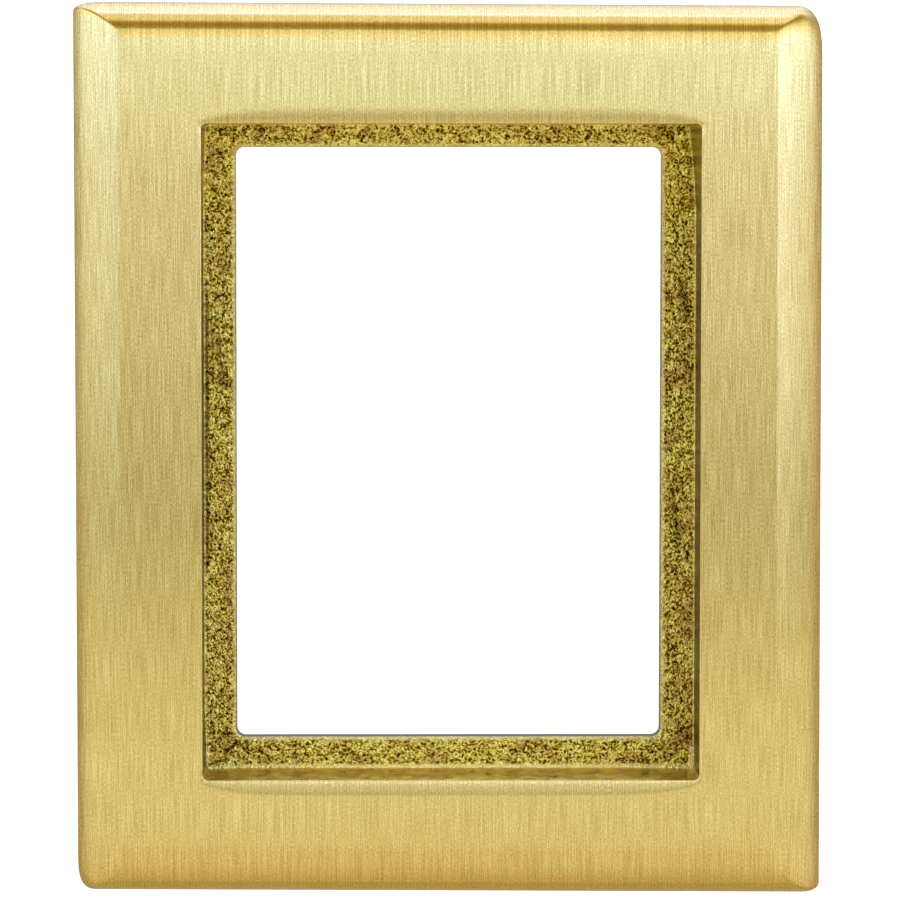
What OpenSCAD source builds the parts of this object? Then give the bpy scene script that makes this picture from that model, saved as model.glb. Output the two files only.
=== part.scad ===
// Frame-shaped desk paperweight: one solid brass casting with a stepped window,
// standing on a ring of felt.
//
// The frame lies on its back. X is its width, Y its length and Z its height.
// The origin is in the middle of the frame, on the surface that the felt rests on.

/* [Frame] */
// Width of the brass frame, outside
frame_w = 138; // [130:0.5:150]
// Length of the brass frame, outside
frame_l = 165; // [156:0.5:176]
// Height of the brass, from its ground underside to its face
frame_h = 17; // [16:0.5:22]
// Radius of the frame's corners, seen from above
corner_r = 1.8; // [0.5:0.1:4]

/* [Bevels] */
// Height of every bevel, from the side of the frame up to the face
bevel_h = 5; // [3.5:0.25:5]
// Width of the bevels along the two long sides
side_bevel_w = 8.2; // [6:0.1:10]
// Width of the bevels along the two ends
end_bevel_w = 5.2; // [4.8:0.1:6]
// Slope at which a bevel leaves the face, in degrees
crease_angle = 11; // [5:1:14]

/* [Window] */
// How far the recess sits off the middle of the frame, towards +X
recess_x = 0.35; // [0:0.05:0.5]
// How far the recess sits off the middle of the frame, towards +Y
recess_y = -0.3; // [-0.5:0.05:0]
// Width of the recess in the face, which takes a 90 x 120 mm insert
recess_w = 92; // [91:0.25:94]
// Length of the recess in the face
recess_l = 121; // [121:0.25:124]
// Depth of the recess, from the face down to the ledge
recess_d = 13; // [8:0.5:14]
// How far each recess wall leans in on its way down to the ledge
recess_draft = 0.3; // [0:0.05:0.6]
// Radius of the recess's corners
recess_r = 1; // [0.5:0.1:2]
// Width of the opening through the ledge
opening_w = 79; // [70:0.5:84]
// Length of the opening through the ledge
opening_l = 110; // [100:0.5:113]
// How far the opening sits off the middle of the frame, towards +X
opening_x = 0.1; // [0:0.05:0.5]
// How far the opening sits off the middle of the frame, towards +Y
opening_y = 0.7; // [0:0.05:1]
// Radius of the opening's corners
opening_r = 1.6; // [0.5:0.1:3]

/* [Felt] */
// Thickness of the felt under the frame
felt_t = 1.5; // [1:0.25:3]
// How far the felt is set back from every edge of the brass
felt_inset = 2; // [1:0.25:4]

/* [Hidden] */

cut = 1;                      // how far a cutting tool runs past the face it starts from
arc_steps = 10;               // flats that make up each bevel's curve
face_z = felt_t + frame_h;    // height of the face above the desk
ledge_z = face_z - recess_d;  // height of the ledge above the desk

// Angle at which a bevel of a given width meets the side of the frame: the chord of an arc lies
// halfway between the slopes at its two ends
function foot_angle(width) = 2 * atan(bevel_h / width) - crease_angle;

// Radius of the arc that makes a bevel of a given width
function bevel_r(width) = width / (sin(foot_angle(width)) - sin(crease_angle));

// Points of a bevel, from the side of a frame of half width half_w up to the face, over the +X side
function bevel_points(half_w, width) = [
    for (i = [0 : arc_steps])
        let (r = bevel_r(width),
             a = foot_angle(width) + (crease_angle - foot_angle(width)) * i / arc_steps)
        [half_w - width + r * (sin(a) - sin(crease_angle)),
         face_z - r * (cos(crease_angle) - cos(a))]
];

// Cross-section of the frame without its window: x across, y up
module bevelled_section(outside_w, width) {
    right = bevel_points(outside_w / 2, width);
    left = [for (i = [arc_steps : -1 : 0]) [-right[i][0], right[i][1]]];
    polygon(concat([[-outside_w / 2, felt_t], [outside_w / 2, felt_t]], right, left));
}

// Stands a section up and extrudes it along Y, centred on the origin
module along_y(length) {
    rotate([90, 0, 0]) linear_extrude(height = length, center = true) children();
}

// Rectangle with rounded corners, centred on the origin
module rounded_rect(w, l, r) {
    square([w - 2 * r, l], center = true);
    square([w, l - 2 * r], center = true);
    for (x = [-1, 1], y = [-1, 1])
        translate([x * (w / 2 - r), y * (l / 2 - r)]) circle(r = r, $fn = 48);
}

// Solid block of the frame with its four bevels, which meet in mitre lines at the corners
module bevelled_block() {
    intersection() {
        along_y(frame_l + 2 * cut) bevelled_section(frame_w, side_bevel_w);
        rotate([0, 0, 90]) along_y(frame_w + 2 * cut) bevelled_section(frame_l, end_bevel_w);
        linear_extrude(height = face_z + cut) rounded_rect(frame_w, frame_l, corner_r);
    }
}

// Section of the recess with its leaning walls, for a recess of a given width in the face
module recess_section(width) {
    lean = recess_draft / recess_d;
    top = width / 2 + lean * cut;
    foot = width / 2 - recess_draft;
    polygon([[-foot, ledge_z], [foot, ledge_z], [top, face_z + cut], [-top, face_z + cut]]);
}

// The recess as a solid to cut away, from the ledge up through the face
module recess_cut() {
    intersection() {
        along_y(recess_l + 2 * cut) recess_section(recess_w);
        rotate([0, 0, 90]) along_y(recess_w + 2 * cut) recess_section(recess_l);
        linear_extrude(height = face_z + 2 * cut) rounded_rect(recess_w, recess_l, recess_r);
    }
}

// Brass frame: bevelled block, recess down to the ledge, opening through the ledge
module frame_casting() {
    color("#C9AE6A")
        difference() {
            bevelled_block();
            translate([recess_x, recess_y]) recess_cut();
            translate([opening_x, opening_y, felt_t - cut])
                linear_extrude(height = frame_h + 2 * cut)
                    rounded_rect(opening_w, opening_l, opening_r);
        }
}

// Felt ring under the frame, set back from the outside and from the opening
module base_felt() {
    color("#31503C")
        linear_extrude(height = felt_t)
            difference() {
                rounded_rect(frame_w - 2 * felt_inset, frame_l - 2 * felt_inset, corner_r);
                translate([opening_x, opening_y])
                    rounded_rect(opening_w + 2 * felt_inset, opening_l + 2 * felt_inset, opening_r);
            }
}

frame_casting();
base_felt();
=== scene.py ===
import math

import bpy
import numpy as np
from mathutils import Euler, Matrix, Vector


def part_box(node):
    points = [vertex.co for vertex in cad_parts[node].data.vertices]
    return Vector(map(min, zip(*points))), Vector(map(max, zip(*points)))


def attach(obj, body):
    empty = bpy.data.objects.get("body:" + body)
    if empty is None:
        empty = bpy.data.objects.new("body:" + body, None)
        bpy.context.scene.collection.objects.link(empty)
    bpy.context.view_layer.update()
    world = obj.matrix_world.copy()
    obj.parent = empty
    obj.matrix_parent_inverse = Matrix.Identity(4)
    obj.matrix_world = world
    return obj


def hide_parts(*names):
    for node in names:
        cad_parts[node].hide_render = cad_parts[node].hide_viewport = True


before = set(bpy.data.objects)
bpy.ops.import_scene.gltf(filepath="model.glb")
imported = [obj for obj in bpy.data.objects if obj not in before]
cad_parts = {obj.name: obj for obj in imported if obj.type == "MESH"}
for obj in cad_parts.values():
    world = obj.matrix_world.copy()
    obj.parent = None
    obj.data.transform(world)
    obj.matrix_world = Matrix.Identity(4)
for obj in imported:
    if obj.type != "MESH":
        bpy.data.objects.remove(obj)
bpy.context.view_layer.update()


# ---------------------------------------------------------------------------
# Brass frame: one sand casting, about 17 mm deep. Its face and bevels are
# linished on a belt that runs along the frame, the walls of its recess are
# filed, and the ledge inside the window keeps the rough skin it was cast with.
# ---------------------------------------------------------------------------
MM = 0.001                    # sizes in this section are in millimetres
low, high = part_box("frame_casting")
frame_half_w = high.x / MM - 0.15
frame_half_l = high.y / MM - 0.35
face_z = high.z / MM
underside_z = low.z / MM
end_skew = 0.0048             # the two ends were ground this much out of square
side_skew = 0.0015

bevel_drop = 5.3              # from the face down to the end of the foot's rounding
side_bevel_w = 8.6
end_bevel_w = 5.2
crease_slope = 11.0           # degrees, where the belt leaves the face
side_foot_slope = 51.7
end_foot_slope = 76.8
crease_lead = 4.0             # how far in from the crease the face starts to fall away
end_lead_slope = 1.4          # degrees, where the face reaches the crease at the two ends
side_lead_slope = 0.05        # and along the two sides, where it stays all but flat
edge_break = 0.5              # the edge round the underside

recess_half_w = 45.85
recess_half_l = 60.5
recess_depth = 13.0
recess_draft = 0.3
recess_middle = (0.45, -0.3)
recess_corner = 1.0
arris_break = 0.15            # the fine rounding along the window's edge
# How the face rolls off beside the window's two ends: slopes in degrees, at distances from the edge
rolloff_away = (0.0, 0.4, 0.8, 1.5, 2.1, 2.6, 3.0)
rolloff_far_slope = (3.3, 2.8, 2.4, 1.9, 1.3, 0.4, 0.0)
rolloff_near_slope = (4.8, 4.1, 3.2, 2.5, 2.1, 1.6, 0.0)

opening_half_w = 39.5
opening_half_l = 55.0
opening_middle = (0.1, 0.7)
opening_corner = 1.6
rim_radius = 0.55

# Each corner's reach along the end, its reach along the side, and how square it is; 2 is an
# ellipse. The belt has taken more off some corners than others. +X+Y, -X+Y, -X-Y, +X-Y
foot_corners = np.array(((5.2, 9.5, 2.7), (7.0, 1.8, 2.4), (3.5, 5.6, 2.6), (3.5, 1.8, 2.0)))
mitre_corners = np.array(((0.8, 1.2, 2.0), (0.35, 0.35, 2.0), (0.8, 0.8, 2.0), (0.6, 0.6, 2.0)))
# The power that each foot corner grows by down its bevels: a high one keeps the mitre sharp for longer
corner_onset = np.array(((1.1,), (3.0,), (1.3,), (3.0,)))

COARSE = (8, 80, 98)          # steps round a corner, along an end and along a side
FINE = 4                      # how many times more steps the cast ledge has
LINISHED, FILED, CAST, GROUND = range(4)


def even(radius):
    """Four round corners of one radius."""
    return np.array([(radius, radius, 2.0)] * 4)


def outline(half_w, half_l, corners, middle=(0.0, 0.0), fine=1):
    """One turn round the frame, anticlockwise from above, from the +X +Y corner on."""
    corner_steps, end_steps, side_steps = (steps * fine for steps in COARSE)
    arcs = []
    for k, (sx, sy) in enumerate(((1, 1), (-1, 1), (-1, -1), (1, -1))):
        along_end, along_side, squareness = corners[k]
        angle = math.pi / 2 * (k + np.arange(corner_steps + 1) / corner_steps)
        curve = np.column_stack((np.abs(np.cos(angle)), np.abs(np.sin(angle)))).round(12)
        curve = curve ** (2 / squareness) * (along_end, along_side)
        arcs.append((curve + (half_w - along_end, half_l - along_side)) * (sx, sy))
    turn = []
    for k in range(4):
        start, target = arcs[k][-1], arcs[(k + 1) % 4][0]
        steps = end_steps if k % 2 == 0 else side_steps
        share = (np.arange(steps) / steps)[:, None]
        turn += [arcs[k][:-1], start + (target - start) * share]
    return np.concatenate(turn) + middle


def skewed(plan, amount=1.0):
    """The plan pushed out of square, as the outside of the frame is."""
    x, y = plan[:, 0], plan[:, 1]
    return np.column_stack((x - side_skew * amount * y, y - end_skew * amount * x))


class Turns:
    """Turns of points that follow each other round the section of a closed ring."""

    def __init__(self):
        self.points, self.skins, self.dulls, self.finishes = [], [], [], []

    def add(self, plan, z, finish, skin=0.0, dull=0.0):
        """One turn, with the finish of the band that leads up to it."""
        self.points.append(np.column_stack((plan, np.broadcast_to(z, len(plan)))))
        self.skins.append(np.broadcast_to(skin, len(plan)))
        self.dulls.append(np.broadcast_to(dull, len(plan)))
        self.finishes.append(finish)

    def band(self, k, after, starts):
        """Faces between two turns: quads, or fans where the number of steps changes."""
        n, m = len(self.points[k]), len(self.points[after])
        a, b = starts[k], starts[after]
        if n == m:
            i = np.arange(n)
            j = (i + 1) % n
            return np.column_stack((a + i, a + j, b + j, b + i)).tolist()
        few, many = min(n, m), max(n, m)
        thin, dense = (a, b) if n < m else (b, a)
        ratio = many // few
        faces = []
        for i in range(few):
            j = (i + 1) % few
            row = [dense + (i * ratio + q) % many for q in range(ratio + 1)]
            fan = [(thin + (i if q < ratio // 2 else j), row[q + 1], row[q]) for q in range(ratio)]
            fan.append((thin + i, thin + j, row[ratio // 2]))
            faces += fan if n < m else [face[::-1] for face in fan]
        return faces

    def mesh(self, name):
        """The closed ring, with its skin, its darkness for painted shade and flaws by point, and its
        finish by face.
        """
        starts = np.concatenate(([0], np.cumsum([len(points) for points in self.points])))
        faces, finishes = [], []
        for k in range(len(self.points)):
            after = (k + 1) % len(self.points)
            band = self.band(k, after, starts)
            faces += band
            finishes += [self.finishes[after]] * len(band)
        made = bpy.data.meshes.new(name)
        made.from_pydata((np.concatenate(self.points) * MM).tolist(), [], faces)
        for name, values in (("skin", self.skins), ("dull", self.dulls)):
            attribute = made.attributes.new(name, "FLOAT", "POINT")
            attribute.data.foreach_set("value", np.concatenate(values).astype(np.float32))
        finish = made.attributes.new("finish", "INT", "FACE")
        finish.data.foreach_set("value", np.array(finishes, np.int32))
        made.polygons.foreach_set("use_smooth", [True] * len(faces))
        made.update()
        return made


def between(first, second, share):
    """A value or an array part of the way from one to another."""
    return np.asarray(first) + (np.asarray(second) - np.asarray(first)) * share


casting = Turns()

# Underside, from the opening outwards, then the edge and the upright side
for share in (0.0, 0.02, 0.2, 0.4, 0.6, 0.8, 0.98):
    plan = outline(between(opening_half_w + 0.3, frame_half_w - edge_break, share),
                   between(opening_half_l + 0.3, frame_half_l - edge_break, share),
                   between(even(opening_corner + 0.3), foot_corners, share),
                   between(opening_middle, (0, 0), share))
    casting.add(skewed(plan, share), underside_z, GROUND)
for turn in np.linspace(0, math.pi / 2, 5):
    inset = edge_break * (1 - math.sin(turn))
    plan = outline(frame_half_w - inset, frame_half_l - inset, foot_corners)
    z = underside_z + edge_break * (1 - math.cos(turn))
    casting.add(skewed(plan), z, LINISHED if turn else GROUND)
foot_z = face_z - bevel_drop
for share in (0.03, 0.2, 0.4, 0.6, 0.8, 0.97):
    plan = outline(frame_half_w, frame_half_l, foot_corners)
    casting.add(skewed(plan), between(underside_z + edge_break, foot_z, share), LINISHED)


def bevel_profile(width, foot_slope, lead_slope):
    """Drop below the face and distance in from the outside, along a bevel from the face down."""
    share = np.linspace(0, 1, 1200)
    slope = np.radians(np.interp(share, (0, 0.02, 0.96, 1), (lead_slope, crease_slope, foot_slope, 90)))
    out = np.concatenate(([0], np.cumsum(np.cos(slope[1:]) + np.cos(slope[:-1]))))
    down = np.concatenate(([0], np.cumsum(np.sin(slope[1:]) + np.sin(slope[:-1]))))
    lead = np.linspace(0, 1, 200)
    lead_drop = crease_lead * math.tan(math.radians(lead_slope)) / 2
    down = lead_drop + down / down[-1] * (bevel_drop - lead_drop)
    return (np.concatenate((lead_drop * lead ** 2, down[1:])),
            np.concatenate((width + crease_lead * (1 - lead), (1 - out[1:] / out[-1]) * width)))


# Bevels: turns at equal drops, so that the bevels meet in mitre lines at the corners
side_down, side_in = bevel_profile(side_bevel_w, side_foot_slope, side_lead_slope)
end_down, end_in = bevel_profile(end_bevel_w, end_foot_slope, end_lead_slope)
for from_outside in (0.0, 0.05, 0.14, 0.3, 0.6, 1.0, 1.5, 2.0, 2.5, 3.0, 3.5, 4.0, 4.5, 5.0, 5.5, 6.0,
                     6.5, 7.0, 7.5, 7.9, 8.2, 8.4, 8.5, 8.58, 8.64, 9.2, 10.0, 11.0, 12.0, 12.6):
    down = np.interp(-from_outside, -side_in, side_down)
    plan = outline(frame_half_w - np.interp(down, side_down, side_in),
                   frame_half_l - np.interp(down, end_down, end_in),
                   between(mitre_corners, foot_corners, (down / bevel_drop) ** corner_onset))
    casting.add(skewed(plan), face_z - down, LINISHED)


def rolloff(plan):
    """How far the face has dropped at each point beside the ends of the window."""
    x, y = (plan - recess_middle).T
    taper = np.clip(1 - (np.abs(x) / (recess_half_w + 0.6)) ** 8, 1e-6, 1) ** 0.7
    away = np.linspace(0, rolloff_away[-1], 400)
    drop = np.zeros(len(plan))
    for end, slopes in ((1, rolloff_far_slope), (-1, rolloff_near_slope)):
        steepness = np.tan(np.radians(np.interp(away, rolloff_away, slopes)))
        fallen = (steepness.sum() - np.cumsum(steepness)) * away[1]
        past = np.clip(y * end - recess_half_l, 0, None)
        drop += taper * np.interp(past / taper, away, fallen) * (y * end > recess_half_l - 1)
    return drop


# Face, which rolls off a little towards the two ends of the window
crease_half_w = frame_half_w - side_bevel_w - crease_lead
crease_half_l = frame_half_l - end_bevel_w - crease_lead
face_reach = rolloff_away[-1] + 0.2
for share in (0.15, 0.4, 0.7, 1.0):
    plan = outline(between(crease_half_w, recess_half_w + face_reach, share),
                   between(crease_half_l, recess_half_l + face_reach, share),
                   between(mitre_corners, even(recess_corner + face_reach), share),
                   between((0, 0), recess_middle, share))
    casting.add(skewed(plan, 1 - share), face_z, LINISHED)
for away in (3.1, 2.8, 2.5, 2.2, 1.9, 1.6, 1.3, 1.0, 0.7, 0.45, 0.3):
    plan = outline(recess_half_w + away, recess_half_l + away,
                   even(recess_corner + away), recess_middle)
    casting.add(plan, face_z - rolloff(plan), LINISHED)
for turn in np.linspace(0, math.pi / 2, 4):
    away = arris_break * (1 - math.sin(turn))
    plan = outline(recess_half_w + away, recess_half_l + away,
                   even(recess_corner + away), recess_middle)
    casting.add(plan, face_z - rolloff(plan) - arris_break * (1 - math.cos(turn)), LINISHED)


corner_bulge = 1.3            # how far the +X wall's foot stands in at its +Y corner
corner_bulge_y = (44.0, 60.0)
end_bulge = 0.35              # how far the -Y wall's foot stands in
side_upright = 0.3            # how much of its draft the -X wall has lost


def wall_lean(plan, share):
    """The plan of a wall, moved where the casting isn't true, a share of the way down to the ledge."""
    x, y = (plan - recess_middle).T
    bulge_start, bulge_end = corner_bulge_y
    corner = np.clip((y - bulge_start) / (bulge_end - bulge_start), 0, 1) ** 1.5 * (x > 40)
    end = (y < -55) * np.clip(1 - np.abs(x / 46) ** 12, 0, 1)
    side = (x < -40) * np.clip((58 - np.abs(y)) / 10, 0, 1)
    across = -side_upright * side * share - corner_bulge * corner * share ** 2
    return plan + np.column_stack((across, end_bulge * end * share))


def wall_painted_shade(plan):
    """Painted shade on the walls: full on the side walls, faint on the end walls."""
    x, y = np.abs(plan - recess_middle).T
    on_side_wall = (x > recess_half_w - 1.6) & (y < recess_half_l - 0.9)
    return np.where(on_side_wall, 1.0, 0.12)


# Walls of the recess, down to the ledge
ledge_z = face_z - recess_depth
# The walls carry painted shade, strongest on the side walls
for share in (0.03, 0.12, 0.25, 0.4, 0.55, 0.7, 0.85, 0.97):
    inset = recess_draft * share
    plan = outline(recess_half_w - inset, recess_half_l - inset, even(recess_corner), recess_middle)
    z = face_z - arris_break - share * (recess_depth - arris_break - 0.1)
    casting.add(wall_lean(plan, share), z, FILED, dull=wall_painted_shade(plan))

# Flaws in the cast ledge, each from one point to another: pits, and the seams where two streams
# of metal met cold. Each row is x and y of both points, half width, depth and how dark it is
flaws = ((-44.65, -59.6, -41.1, -58.6, 0.2, 0.35, 0.9),
         (-41.8, -57.5, -39.4, -55.3, 0.2, 0.35, 0.9),
         (-39.4, -55.5, -37.2, -57.5, 0.2, 0.3, 0.8),
         (-37.8, -55.3, -37.2, -57.7, 0.18, 0.3, 0.8),
         (-35.9, -56.2, -33.5, -58.3, 0.18, 0.3, 0.7),
         (-44.6, 59.0, -39.5, 58.9, 0.22, 0.3, 0.8),
         (-43.0, 54.6, -42.1, 51.3, 0.8, 0.3, 0.7),
         (-44.9, 28.4, -44.9, -22.0, 0.3, 0.2, 0.8),
         (-42.9, 20.0, -42.2, 12.0, 0.6, 0.15, 0.4),
         (44.3, 59.5, 45.4, 45.0, 0.5, 0.1, 0.6),
         (43.6, 31.0, 44.3, 24.0, 0.6, 0.2, 0.6),
         (42.0, -8.0, 43.1, -19.0, 0.7, 0.15, 0.5))


def flawed(plan):
    """How deep and how dark the flaws are at each point of the ledge."""
    depth, dark = np.zeros(len(plan)), np.zeros(len(plan))
    for x0, y0, x1, y1, half_width, deep, dull in flaws:
        start, run = np.array((x0, y0)), np.array((x1 - x0, y1 - y0))
        share = np.clip((plan - start) @ run / (run @ run), 0, 1)[:, None]
        near = np.exp(-(((plan - start - share * run) ** 2).sum(1) / half_width ** 2))
        depth = np.maximum(depth, deep * near)
        dark = np.maximum(dark, dull * near)
    return depth, dark


# Ledge, in fine turns that the cast skin is raised on. A smooth burr runs along the foot of the
# -Y wall
ledge_steps = 30
burr_height, burr_middle, burr_width = 0.22, 0.35, 0.3
foot_half_w = recess_half_w - recess_draft
foot_half_l = recess_half_l - recess_draft
rim_half_w = opening_half_w + rim_radius
rim_half_l = opening_half_l + rim_radius
for step in range(ledge_steps + 1):
    share = step / ledge_steps
    plan = outline(between(foot_half_w, rim_half_w, share), between(foot_half_l, rim_half_l, share),
                   between(even(recess_corner), even(opening_corner + rim_radius), share),
                   between(recess_middle, opening_middle, share), FINE)
    plan = wall_lean(plan, 1 - share)
    into = share * (foot_half_w - rim_half_w)
    at_low_end = plan[:, 1] < -opening_half_l - 1
    swell = burr_height * math.exp(-((into - burr_middle) / burr_width) ** 2)
    burr = np.where(at_low_end, swell, 0.0)
    skin = np.clip(np.where(at_low_end, into / 0.4 - 1.2, into / 0.3), 0, 1)
    skin = np.minimum(skin, 0.3 + (foot_half_w - rim_half_w - into) / 0.5)
    depth, dark = flawed(plan)
    casting.add(plan, ledge_z + burr - depth, CAST, skin=skin, dull=dark)
# The rim and the opening's inner wall are darkened with painted shade, a grey painted reflection towards
# +Y
for turn in np.linspace(0, math.pi / 2, 6)[1:]:
    out = rim_radius * (1 - math.sin(turn))
    plan = outline(opening_half_w + out, opening_half_l + out, even(opening_corner + out),
                   opening_middle, FINE)
    casting.add(plan, ledge_z - rim_radius * (1 - math.cos(turn)), CAST,
                skin=0.3 * (1 - turn / (math.pi / 2)), dull=(turn / (math.pi / 2)) ** 2)
for share in (0.1, 0.5, 0.9):
    plan = outline(opening_half_w, opening_half_l, even(opening_corner), opening_middle)
    casting.add(plan, between(ledge_z - rim_radius, underside_z + 0.3, share), CAST, dull=1.0)


def add(tree, kind, sockets=None, **settings):
    """Adds a node to a tree, with its settings and with a value or a link for each socket."""
    made = tree.nodes.new(kind)
    for name, value in settings.items():
        setattr(made, name, value)
    for name, value in (sockets or {}).items():
        if isinstance(value, bpy.types.NodeSocket):
            tree.links.new(value, made.inputs[name])
        else:
            made.inputs[name].default_value = value
    return made


def linear(code):
    """Linear colour of an sRGB hex code."""
    parts = [int(code[i:i + 2], 16) / 255 for i in (1, 3, 5)]
    return [c / 12.92 if c <= 0.04045 else ((c + 0.055) / 1.055) ** 2.4 for c in parts] + [1]


def set_stops(node, stops):
    """Sets a colour ramp's stops from (place, linear colour) pairs, in order of place."""
    elements = node.color_ramp.elements
    while len(elements) < len(stops):
        elements.new(1.0)
    for element, (place, colour) in zip(elements, stops):
        element.position = place
        element.color = colour
    return node.outputs[0]


def hex_stops(node, *stops):
    """Sets a colour ramp's stops from (place, hex code) pairs, in order of place."""
    return set_stops(node, [(place, linear(code)) for place, code in stops])


def brass(name):
    """An empty brass material: itself, its tree, its shader and its object coordinates."""
    made = bpy.data.materials.new(name)
    made.use_nodes = True
    tree = made.node_tree
    shader = tree.nodes["Principled BSDF"]
    shader.inputs["Metallic"].default_value = 1.0
    return made, tree, shader, add(tree, "ShaderNodeTexCoord").outputs["Object"]


# Belt-linished brass: hairlines along the frame smear every reflection across the frame and leave
# it sharp along it. The hairlines are drawn 0.2 mm wide, coarser than the real ones, to show
linished, tree, shader, place = brass("linished_brass")
normal = add(tree, "ShaderNodeNewGeometry").outputs["Normal"]
facing = add(tree, "ShaderNodeSeparateXYZ", {0: normal})
spot = add(tree, "ShaderNodeSeparateXYZ", {0: place})
sideways = add(tree, "ShaderNodeMath", {0: facing.outputs["X"]}, operation="ABSOLUTE")
on_side = add(tree, "ShaderNodeMapRange", {0: sideways.outputs[0], 1: 0.8, 2: 0.97})
below = add(tree, "ShaderNodeMath", {0: face_z * MM, 1: spot.outputs["Z"]}, operation="SUBTRACT")
side = add(tree, "ShaderNodeMath", {0: spot.outputs["X"]}, operation="SIGN")
outward = add(tree, "ShaderNodeMath", {0: below.outputs[0], 1: side.outputs[0]}, operation="MULTIPLY")
across = add(tree, "ShaderNodeMath", {0: outward.outputs[0], 1: on_side.outputs[0],
                                      2: spot.outputs["X"]}, operation="MULTIPLY_ADD")
belt_place = add(tree, "ShaderNodeCombineXYZ", {0: across.outputs[0], 1: spot.outputs["Y"]})
layers = []
for width, length, detail in ((0.2, 9.0, 1.0), (0.2, 0.5, 1.0), (1.6, 30.0, 2.0)):
    stretched = add(tree, "ShaderNodeVectorMath",
                    {0: belt_place.outputs[0], 1: (1 / (width * MM), 1 / (length * MM), 0)},
                    operation="MULTIPLY")
    layers.append(add(tree, "ShaderNodeTexNoise",
                      {"Vector": stretched.outputs[0], "Scale": 1.0, "Detail": detail, "Roughness": 0.6},
                      noise_dimensions="2D").outputs[0])
hair, fleck, cloud = layers
first = add(tree, "ShaderNodeMix", {0: 0.5, 2: hair, 3: fleck})
grain = add(tree, "ShaderNodeMix", {0: 0.08, 2: first.outputs[0], 3: cloud})
tone = hex_stops(add(tree, "ShaderNodeValToRGB", {0: grain.outputs[0]}),
                 (0.32, "#C6AE64"), (0.5, "#E3CA7C"), (0.68, "#FDE99E"))
tree.links.new(tone, shader.inputs["Base Color"])
rough = add(tree, "ShaderNodeMapRange", {0: grain.outputs[0], 1: 0.35, 2: 0.65, 3: 0.14, 4: 0.17})
tree.links.new(rough.outputs[0], shader.inputs["Roughness"])
shader.inputs["Anisotropic"].default_value = 1.0
cross = add(tree, "ShaderNodeVectorMath", {0: (0, 1, 0), 1: normal}, operation="CROSS_PRODUCT")
tangent = add(tree, "ShaderNodeVectorMath", {0: cross.outputs[0], 1: (0.01, 0, 0)}, operation="ADD")
tree.links.new(tangent.outputs[0], shader.inputs["Tangent"])
bump = add(tree, "ShaderNodeBump", {"Height": hair, "Strength": 1.0, "Distance": 0.005 * MM})
tree.links.new(bump.outputs[0], shader.inputs["Normal"])


def darken_painted_shade_and_flaws(tree, shader, place, tone):
    """Gives a shader its tone, darkened where the attribute asks: painted shade that turns to a grey
    painted reflection towards +Y, and dark flaws.
    """
    along = add(tree, "ShaderNodeSeparateXYZ", {0: place}).outputs["Y"]
    far = add(tree, "ShaderNodeMapRange", {0: along, 1: 38 * MM, 2: 52 * MM})
    # The ramp paints shade in dark brown and, towards +Y, a grey painted reflection
    painted_shade_and_reflection = hex_stops(add(tree, "ShaderNodeValToRGB", {0: far.outputs[0]}),
                      (0.0, "#6A5636"), (1.0, "#D4DAD4"))
    dull = add(tree, "ShaderNodeAttribute", attribute_name="dull").outputs["Fac"]
    shaded = add(tree, "ShaderNodeMix", {0: dull, 6: tone, 7: painted_shade_and_reflection},
                 data_type="RGBA", blend_type="MULTIPLY")
    tree.links.new(shaded.outputs[2], shader.inputs["Base Color"])


# Filed brass: the smooth, slightly uneven walls of the recess, golden at the two ends and darkened with
# painted brown shade on the side walls, which turns to a grey painted reflection towards their +Y end
filed, tree, shader, place = brass("filed_brass")
patches = add(tree, "ShaderNodeTexNoise", {"Vector": place, "Scale": 520.0, "Detail": 3.0})
tone = hex_stops(add(tree, "ShaderNodeValToRGB", {0: patches.outputs[0]}),
                 (0.36, "#C0A03A"), (0.5, "#DABC46"), (0.64, "#F2D85A"))
darken_painted_shade_and_flaws(tree, shader, place, tone)
rough = add(tree, "ShaderNodeMapRange", {0: patches.outputs[0], 1: 0.3, 2: 0.7, 3: 0.26, 4: 0.4})
tree.links.new(rough.outputs[0], shader.inputs["Roughness"])
bump = add(tree, "ShaderNodeBump", {"Height": patches.outputs[0], "Strength": 1.0,
                                    "Distance": 0.07 * MM})
tree.links.new(bump.outputs[0], shader.inputs["Normal"])

# Cast brass: the skin that the sand leaves. Its grains, about 0.5 mm across, are coloured with painted
# highlights on their bright yellow crests and painted olive and brown shade in their hollows, and stains
# drift over them in patches of some millimetres
cast, tree, shader, place = brass("cast_brass")
grains = add(tree, "ShaderNodeTexNoise", {"Vector": place, "Scale": 1 / (1.1 * MM), "Detail": 4.0,
                                          "Roughness": 0.6, "Distortion": 1.2})
crumbs = add(tree, "ShaderNodeTexNoise", {"Vector": place, "Scale": 1 / (0.5 * MM), "Detail": 2.0})
grit = add(tree, "ShaderNodeMix", {0: 0.45, 2: grains.outputs[0], 3: crumbs.outputs[0]})
# Painted highlights on the grain crests and painted shade in their hollows
grit_highlight_and_shade = hex_stops(add(tree, "ShaderNodeValToRGB", {0: grit.outputs[0]}),
                   (0.39, "#352A08"), (0.445, "#8E7A2A"), (0.49, "#DAC452"), (0.54, "#FFFFB8"))
patches = add(tree, "ShaderNodeTexNoise", {"Vector": place, "Scale": 190.0, "Detail": 2.0})
stain = hex_stops(add(tree, "ShaderNodeValToRGB", {0: patches.outputs[0]}),
                  (0.34, "#D0B48A"), (0.45, "#F2E2A6"), (0.55, "#FFFCC0"), (0.66, "#F8FABA"))
colour = add(tree, "ShaderNodeMix", {0: 0.8, 6: grit_highlight_and_shade, 7: stain},
             data_type="RGBA", blend_type="MULTIPLY")
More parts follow.
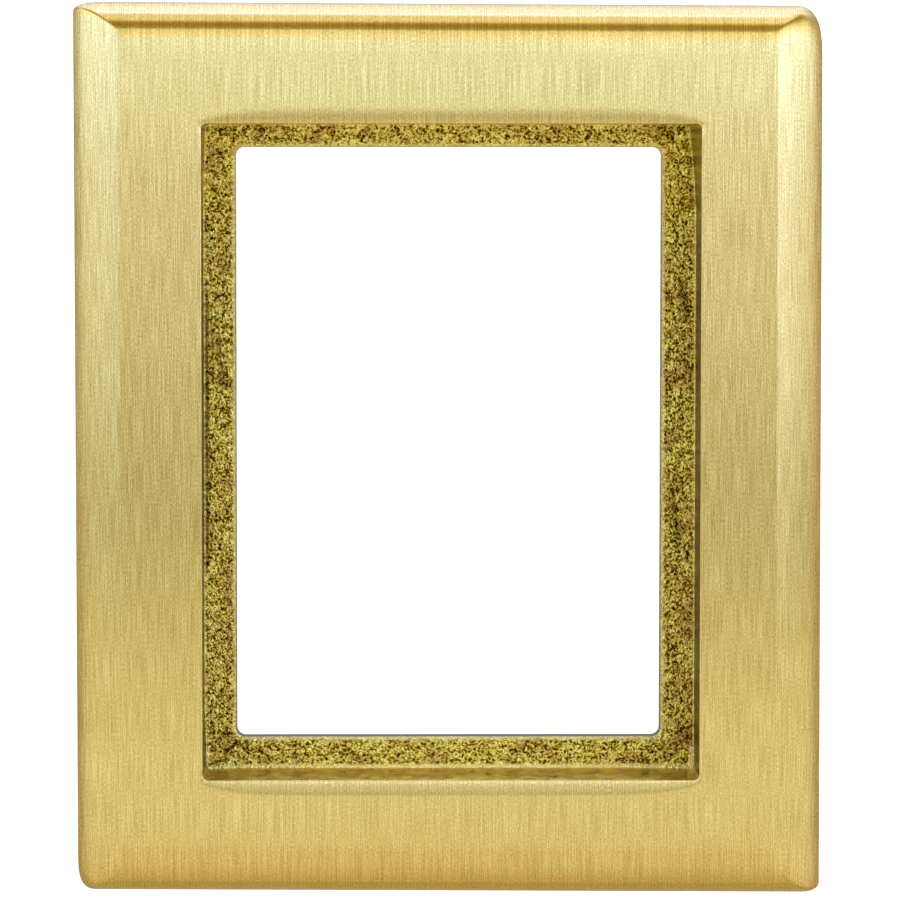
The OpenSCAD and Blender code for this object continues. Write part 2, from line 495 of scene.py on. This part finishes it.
# Where the skin is smooth, along the burr, the foot of the walls and the rim, the pale #FFF4A4 paints a
# highlight
skin = add(tree, "ShaderNodeAttribute", attribute_name="skin").outputs["Fac"]
tone = add(tree, "ShaderNodeMix", {0: skin, 6: linear("#FFF4A4"), 7: colour.outputs[2]},
           data_type="RGBA")
darken_painted_shade_and_flaws(tree, shader, place, tone.outputs[2])
shader.inputs["Roughness"].default_value = 0.2
bump = add(tree, "ShaderNodeBump", {"Height": grit.outputs[0], "Strength": 1.0, "Distance": 0.9 * MM})
tree.links.new(bump.outputs[0], shader.inputs["Normal"])

# Ground brass: the flat underside, left from a coarse grinding wheel
ground, tree, shader, place = brass("ground_brass")
scored = add(tree, "ShaderNodeVectorMath", {0: place, 1: (150, 2500, 1)}, operation="MULTIPLY")
grind = add(tree, "ShaderNodeTexNoise", {"Vector": scored.outputs[0], "Scale": 1.0, "Detail": 2.0})
tone = hex_stops(add(tree, "ShaderNodeValToRGB", {0: grind.outputs[0]}),
                 (0.3, "#A88C4C"), (0.7, "#D2B66C"))
tree.links.new(tone, shader.inputs["Base Color"])
shader.inputs["Roughness"].default_value = 0.4

finishes = (linished, filed, cast, ground)


def noise_height(tree, place, given, size, height, detail):
    """Height of a noise of a given size, from a tree's named inputs."""
    scale = add(tree, "ShaderNodeMath", {0: 1.0, 1: given[size]}, operation="DIVIDE")
    noise = add(tree, "ShaderNodeTexNoise",
                {"Vector": place, "W": given["Seed"], "Scale": scale.outputs[0],
                 "Detail": detail, "Distortion": 0.6}, noise_dimensions="4D")
    level = add(tree, "ShaderNodeMath", {0: noise.outputs[0], 1: given["Level"]}, operation="SUBTRACT")
    return add(tree, "ShaderNodeMath", {0: level.outputs[0], 1: given[height]},
               operation="MULTIPLY").outputs[0]


def skin_tree(name, inputs, reliefs, materials):
    """A tree that raises reliefs where a point's skin is above 0, and sets each face's material."""
    tree = bpy.data.node_groups.new(name, "GeometryNodeTree")
    tree.is_modifier = True
    tree.interface.new_socket("Geometry", in_out="INPUT", socket_type="NodeSocketGeometry")
    for socket in inputs:
        tree.interface.new_socket(socket, in_out="INPUT", socket_type="NodeSocketFloat")
    tree.interface.new_socket("Geometry", in_out="OUTPUT", socket_type="NodeSocketGeometry")
    given = add(tree, "NodeGroupInput").outputs
    place = add(tree, "GeometryNodeInputPosition").outputs[0]
    total = 0.0
    for size, height, detail in reliefs:
        relief = noise_height(tree, place, given, size, height, detail)
        total = add(tree, "ShaderNodeMath", {0: relief, 1: total}, operation="ADD").outputs[0]
    skin = add(tree, "GeometryNodeInputNamedAttribute", {"Name": "skin"}, data_type="FLOAT")
    raised = add(tree, "ShaderNodeMath", {0: total, 1: skin.outputs[0]}, operation="MULTIPLY")
    normal = add(tree, "GeometryNodeInputNormal").outputs[0]
    offset = add(tree, "ShaderNodeVectorMath", {0: normal, "Scale": raised.outputs[0]},
                 operation="SCALE")
    moved = add(tree, "GeometryNodeSetPosition", {"Geometry": given["Geometry"],
                                                  "Offset": offset.outputs[0]})
    last = add(tree, "GeometryNodeRealizeInstances", {0: moved.outputs[0]})
    finish = add(tree, "GeometryNodeInputNamedAttribute", {"Name": "finish"}, data_type="INT")
    for number, material in enumerate(materials):
        here = add(tree, "FunctionNodeCompare", {2: finish.outputs[0], 3: number}, data_type="INT",
                   operation="EQUAL")
        last = add(tree, "GeometryNodeSetMaterial", {"Geometry": last.outputs[0],
                                                     "Selection": here.outputs[0], "Material": material})
    add(tree, "NodeGroupOutput", {0: last.outputs[0]})
    return tree


def grown(name, mesh, tree, sizes):
    """A plain-mesh piece: the mesh with a Geometry Nodes tree worked into it at the given sizes."""
    piece = bpy.data.objects.new(name, mesh)
    bpy.context.collection.objects.link(piece)
    modifier = piece.modifiers.new(tree.name, "NODES")
    modifier.node_group = tree
    for item in tree.interface.items_tree:
        if item.in_out == "INPUT" and item.name in sizes:
            modifier[item.identifier] = sizes[item.name]
    depsgraph = bpy.context.evaluated_depsgraph_get()
    plain = bpy.data.meshes.new_from_object(piece.evaluated_get(depsgraph),
                                            preserve_all_data_layers=True, depsgraph=depsgraph)
    piece.modifiers.clear()
    piece.data = plain
    plain.name = name
    return piece


cast_skin = skin_tree("cast_skin",
                      ("Grain Size", "Grain Height", "Lump Size", "Lump Height", "Level", "Seed"),
                      (("Grain Size", "Grain Height", 1.0), ("Lump Size", "Lump Height", 2.0)),
                      finishes)
frame_brass = grown("brass_frame", casting.mesh("brass_frame_plain"), cast_skin,
                    {"Grain Size": 1.2 * MM, "Grain Height": 0.65 * MM, "Lump Size": 3.5 * MM,
                     "Lump Height": 0.4 * MM, "Level": 0.5, "Seed": 4.0})
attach(frame_brass, "root")
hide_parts("frame_casting")


# ---------------------------------------------------------------------------
# Base felt: one ring die-cut from 1.5 mm pressed wool felt, glued to the ground
# underside and set back 2 mm from every edge of the brass, so that the frame
# doesn't scratch what it stands on.
# ---------------------------------------------------------------------------
low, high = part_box("base_felt")
felt_half_w = high.x / MM
felt_half_l = high.y / MM
felt_top = high.z / MM
felt_hole_w = 41.5
felt_hole_l = 57.0
felt_corner = 1.8
cut_radius = 0.3              # the felt's cut edges spring back a little rounded

felt_ring = Turns()
across_ring = np.linspace(0, 1, 40)
around_edge = np.linspace(0, math.pi, 8)[1:-1]


def felt_plan(share):
    return outline(between(felt_hole_w + cut_radius, felt_half_w - cut_radius, share),
                   between(felt_hole_l + cut_radius, felt_half_l - cut_radius, share),
                   even(felt_corner), between(opening_middle, (0, 0), share))


for share in across_ring:
    felt_ring.add(felt_plan(share), 0.0, 0, skin=1.0)
for turn in around_edge:
    back = cut_radius * (1 - math.sin(turn))
    felt_ring.add(outline(felt_half_w - back, felt_half_l - back, even(felt_corner)),
                  felt_top * (1 - math.cos(turn)) / 2, 0, skin=0.6)
for share in across_ring[::-1]:
    felt_ring.add(felt_plan(share), felt_top, 0)
for turn in around_edge:
    back = cut_radius * (1 - math.sin(turn))
    felt_ring.add(outline(felt_hole_w + back, felt_hole_l + back, even(felt_corner), opening_middle),
                  felt_top * (1 + math.cos(turn)) / 2, 0, skin=0.6)

# Pressed wool felt, dyed bottle green: no gloss, a soft bloom at glancing angles, matted fibres
wool = bpy.data.materials.new("pressed_wool_felt")
wool.use_nodes = True
tree = wool.node_tree
shader = tree.nodes["Principled BSDF"]
place = add(tree, "ShaderNodeTexCoord").outputs["Object"]
fibres = add(tree, "ShaderNodeTexNoise", {"Vector": place, "Scale": 1800.0, "Detail": 4.0,
                                          "Roughness": 0.7, "Distortion": 1.5})
cloud = add(tree, "ShaderNodeTexNoise", {"Vector": place, "Scale": 220.0, "Detail": 2.0})
matted = add(tree, "ShaderNodeMix", {0: 0.5, 2: fibres.outputs[0], 3: cloud.outputs[0]})
tone = hex_stops(add(tree, "ShaderNodeValToRGB", {0: matted.outputs[0]}),
                 (0.35, "#213B2B"), (0.5, "#31503C"), (0.65, "#45684F"))
tree.links.new(tone, shader.inputs["Base Color"])
shader.inputs["Roughness"].default_value = 0.95
shader.inputs["Specular IOR Level"].default_value = 0.2
shader.inputs["Sheen Weight"].default_value = 0.35
shader.inputs["Sheen Roughness"].default_value = 0.5
bump = add(tree, "ShaderNodeBump", {"Height": fibres.outputs[0], "Strength": 0.6, "Distance": 0.3 * MM})
tree.links.new(bump.outputs[0], shader.inputs["Normal"])

pressed_wool = skin_tree("pressed_wool", ("Tuft Size", "Tuft Height", "Level", "Seed"),
                         (("Tuft Size", "Tuft Height", 2.0),), (wool,))
base_felt = grown("felt_ring", felt_ring.mesh("felt_ring_plain"), pressed_wool,
                  {"Tuft Size": 1.6 * MM, "Tuft Height": 0.12 * MM, "Level": 1.0, "Seed": 7.0})
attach(base_felt, "root")
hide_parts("base_felt")


# ---------------------------------------------------------------------------
# Floor: a large plain sheet of white paper, lit from behind so that it stays
# pale and hardly takes a shadow.
# ---------------------------------------------------------------------------
floor_mesh = bpy.data.meshes.new("floor")
reach = 6.0
floor_corners = [(-reach, -reach, 0), (reach, -reach, 0), (reach, reach, 0), (-reach, reach, 0)]
floor_mesh.from_pydata(floor_corners, [], [(0, 1, 2, 3)])
floor = bpy.data.objects.new("floor", floor_mesh)
bpy.context.collection.objects.link(floor)
paper = bpy.data.materials.new("white_paper")
paper.use_nodes = True
shader = paper.node_tree.nodes["Principled BSDF"]
shader.inputs["Base Color"].default_value = linear("#F2F2F2")
shader.inputs["Roughness"].default_value = 1.0
shader.inputs["Specular IOR Level"].default_value = 0.0
shader.inputs["Emission Color"].default_value = linear("#FFFFFF")
shader.inputs["Emission Strength"].default_value = 0.8
floor_mesh.materials.append(paper)
floor.visible_glossy = False


# ---------------------------------------------------------------------------
# Light: a soft, cool panel overhead towards the frame's far end, a darker gap
# in front of it and a bright strip in front of that, brighter bands on either
# hand, and warm walls all round.
# ---------------------------------------------------------------------------
scene = bpy.context.scene
studio = bpy.data.worlds.new("studio")
scene.world = studio
studio.use_nodes = True
tree = studio.node_tree
tree.nodes.clear()
toward = add(tree, "ShaderNodeSeparateXYZ", {0: add(tree, "ShaderNodeTexCoord").outputs["Generated"]})
along, up = toward.outputs["Y"], toward.outputs["Z"]
BRIGHTEST = 4.0               # the light colours below are divided by this to fit a colour ramp


def light_ramp(value, start, end, *stops):
    """A colour ramp over a direction, from (direction, red, green, blue) stops."""
    spread = add(tree, "ShaderNodeMapRange", {0: value, 1: start, 2: end})
    node = add(tree, "ShaderNodeValToRGB", {0: spread.outputs[0]})
    return set_stops(node, [((at - start) / (end - start), [c / BRIGHTEST for c in rgb] + [1])
                            for at, *rgb in stops])


PANEL_NEAR, PANEL_FAR = -0.24, 0.12     # where the lights overhead start and end, along the frame
near_edge = (.85, .75, .6)
near_strip = (1, 1, .95)
gap = (.55, .55, .45)
middle = (.8, .8, .8)
far_panel = (1.05, 1.2, 1.5)
far_edge = (1.15, 1.1, .95)
panel = light_ramp(along, PANEL_NEAR, PANEL_FAR, (PANEL_NEAR, *near_edge), (-.155, *near_edge),
                   (-.14, *near_strip), (-.11, .75, .75, .6), (-.085, *gap), (-.045, *middle),
                   (-.02, *middle), (-.005, *far_panel), (.03, *far_panel), (PANEL_FAR, *far_edge))
room = light_ramp(along, -1, 1, (-1, .65, .55, .3), (-.7, .8, .65, .45), (-.4, .8, .7, .55),
                  (PANEL_NEAR, *near_edge), (PANEL_FAR, *far_edge), (.36, .8, .75, .5),
                  (.5, .45, .35, .15), (.62, .35, .25, .05), (.74, .45, .3, .1), (.85, 1, .9, .6),
                  (.97, .9, .8, .7), (1, 1.3, 1.4, 2.3))
low_room = light_ramp(along, -1, 1, (-1, .55, .45, .25), (-.4, .5, .4, .3), (.35, .5, .45, .4),
                      (.6, .95, 1, 1.35), (1, 1.5, 1.65, 2.9))
past_near = add(tree, "ShaderNodeMath", {0: along, 1: PANEL_NEAR}, operation="GREATER_THAN")
before_far = add(tree, "ShaderNodeMath", {0: along, 1: PANEL_FAR}, operation="LESS_THAN")
in_panel = add(tree, "ShaderNodeMath", {0: past_near.outputs[0], 1: before_far.outputs[0]},
               operation="MULTIPLY")
upper = add(tree, "ShaderNodeMix", {0: in_panel.outputs[0], 6: room, 7: panel}, data_type="RGBA")
horizon = add(tree, "ShaderNodeMapRange", {0: up, 1: -0.05, 2: 0.05})
around = add(tree, "ShaderNodeMix", {0: horizon.outputs[0], 6: low_room, 7: upper.outputs[2]},
             data_type="RGBA")
round_side = add(tree, "ShaderNodeMath", {0: toward.outputs["X"], 1: up}, operation="ARCTAN2")
degrees = add(tree, "ShaderNodeMath", {0: round_side.outputs[0]}, operation="DEGREES")
strips = light_ramp(degrees.outputs[0], -180, 180, (-150, 1, 1, 1), (-115, .9, .9, .9),
                    (-98, 1.22, 1.3, 1.55), (-45, 1.2, 1.32, 1.7), (-17, 1.14, 1.24, 1.62),
                    (-9, 1, 1, 1), (7, 1, 1, 1), (15, 1.5, 1.64, 2.3), (34, 1.55, 1.72, 2.5),
                    (48, 1.35, 1.45, 2), (75, 1.2, 1.28, 1.5), (98, 1.2, 1.2, 1.3), (115, .9, .9, .9),
                    (150, 1, 1, 1))
far_half = add(tree, "ShaderNodeMapRange", {0: along, 1: -0.12, 2: -0.07})
beside = add(tree, "ShaderNodeMix", {0: far_half.outputs[0], 6: [1 / BRIGHTEST] * 3 + [1], 7: strips},
             data_type="RGBA")
lit = add(tree, "ShaderNodeMix", {0: 1.0, 6: around.outputs[2], 7: beside.outputs[2]},
          data_type="RGBA", blend_type="MULTIPLY")
seen = add(tree, "ShaderNodeLightPath").outputs["Is Camera Ray"]
glow = add(tree, "ShaderNodeBackground", {"Color": lit.outputs[2], "Strength": BRIGHTEST ** 2})
backdrop = add(tree, "ShaderNodeBackground", {"Color": linear("#F4F4F2"), "Strength": 1.0})
shown = add(tree, "ShaderNodeMixShader", {0: seen, 1: glow.outputs[0], 2: backdrop.outputs[0]})
add(tree, "ShaderNodeOutputWorld", {"Surface": shown.outputs[0]})
scene.view_settings.view_transform = "Standard"


# ---------------------------------------------------------------------------
# Camera: almost straight above the frame, a little to its left and towards its
# far end, with a long lens.
# ---------------------------------------------------------------------------
eye = bpy.data.cameras.new("camera")
eye.lens = 215
eye.sensor_width = 36
camera = bpy.data.objects.new("camera", eye)
bpy.context.collection.objects.link(camera)
camera.location = (-0.01165, 0.0747, face_z * MM + 0.985)
camera.rotation_euler = Euler([math.radians(angle) for angle in (-4.316, -0.687, 0.042)], "XYZ")
scene.camera = camera
